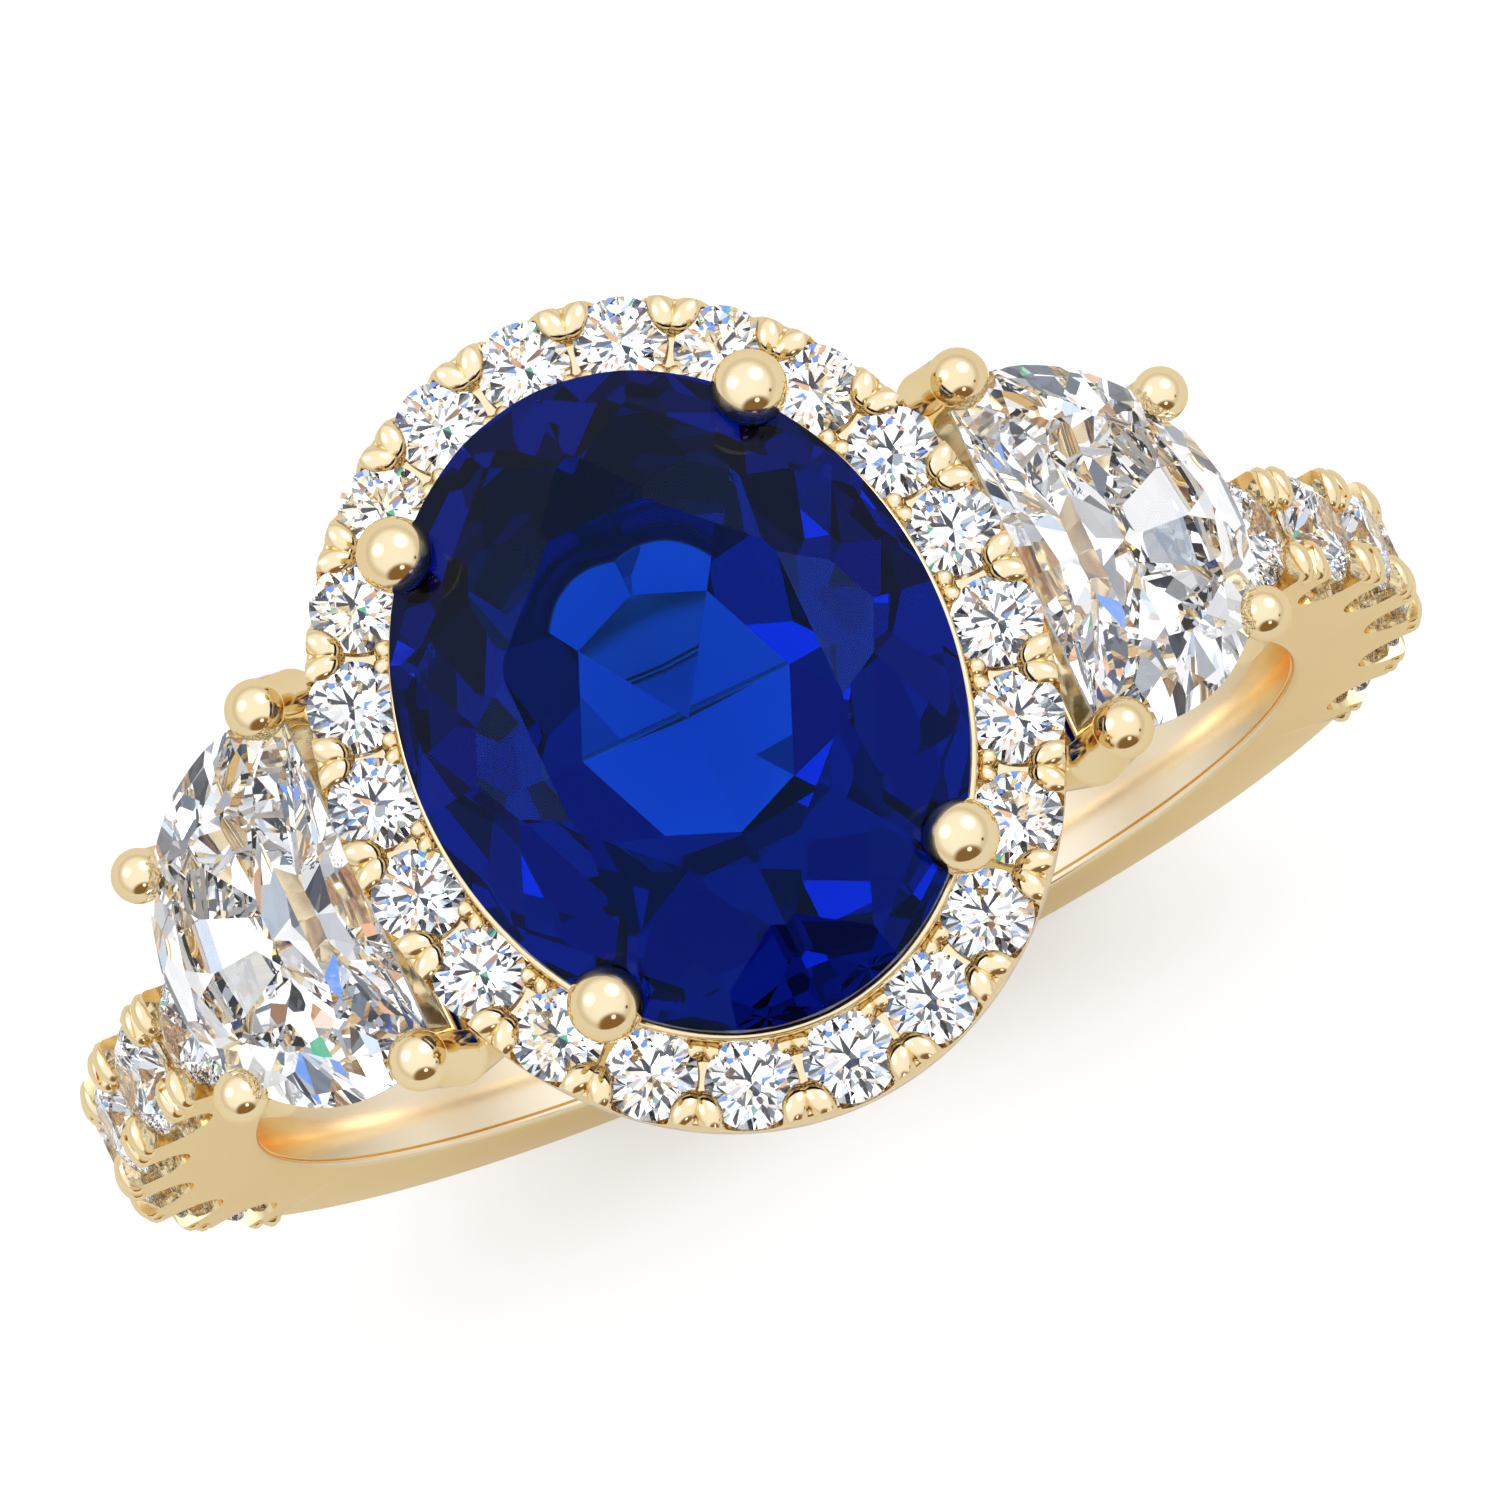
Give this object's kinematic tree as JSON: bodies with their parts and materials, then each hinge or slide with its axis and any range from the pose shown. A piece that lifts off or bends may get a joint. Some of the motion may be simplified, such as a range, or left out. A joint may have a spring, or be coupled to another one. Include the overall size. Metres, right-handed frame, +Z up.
{
  "type": "engagement ring",
  "caption": "Three-stone engagement ring with an oval blue centre stone in a diamond halo, half-moon side stones and a diamond-set shank.",
  "frame": {"origin": "centre of the finger hole, half way across the shank's width", "axes": "+Y along the finger, +Z up through the middle of the centre stone, +X across the finger towards the right-hand side stone"},
  "size_m": [0.0208, 0.0126, 0.0233],
  "materials": {
    "yellow_gold": "polished",
    "diamond": "faceted and polished",
    "sapphire": "faceted and polished"
  },
  "bodies": {
    "root": {"shank": "yellow_gold", "centre_head": "yellow_gold", "halo": "yellow_gold", "side_head_right": "yellow_gold", "side_head_left": "yellow_gold", "centre_sapphire": "sapphire", "half_moon_right": "diamond", "half_moon_left": "diamond", "halo_diamond_01": "diamond", "halo_diamond_02": "diamond", "halo_diamond_03": "diamond", "halo_diamond_04": "diamond", "halo_diamond_05": "diamond", "halo_diamond_06": "diamond", "halo_diamond_07": "diamond", "halo_diamond_08": "diamond", "halo_diamond_09": "diamond", "halo_diamond_10": "diamond", "halo_diamond_11": "diamond", "halo_diamond_12": "diamond", "halo_diamond_13": "diamond", "halo_diamond_14": "diamond", "halo_diamond_15": "diamond", "halo_diamond_16": "diamond", "halo_diamond_17": "diamond", "halo_diamond_18": "diamond", "halo_diamond_19": "diamond", "halo_diamond_20": "diamond", "halo_diamond_21": "diamond", "halo_diamond_22": "diamond", "pave_diamond_right_1": "diamond", "pave_diamond_right_2": "diamond", "pave_diamond_right_3": "diamond", "pave_diamond_right_4": "diamond", "pave_diamond_right_5": "diamond", "pave_diamond_right_6": "diamond", "pave_diamond_left_1": "diamond", "pave_diamond_left_2": "diamond", "pave_diamond_left_3": "diamond", "pave_diamond_left_4": "diamond", "pave_diamond_left_5": "diamond", "pave_diamond_left_6": "diamond"}
  },
  "joints": []
}
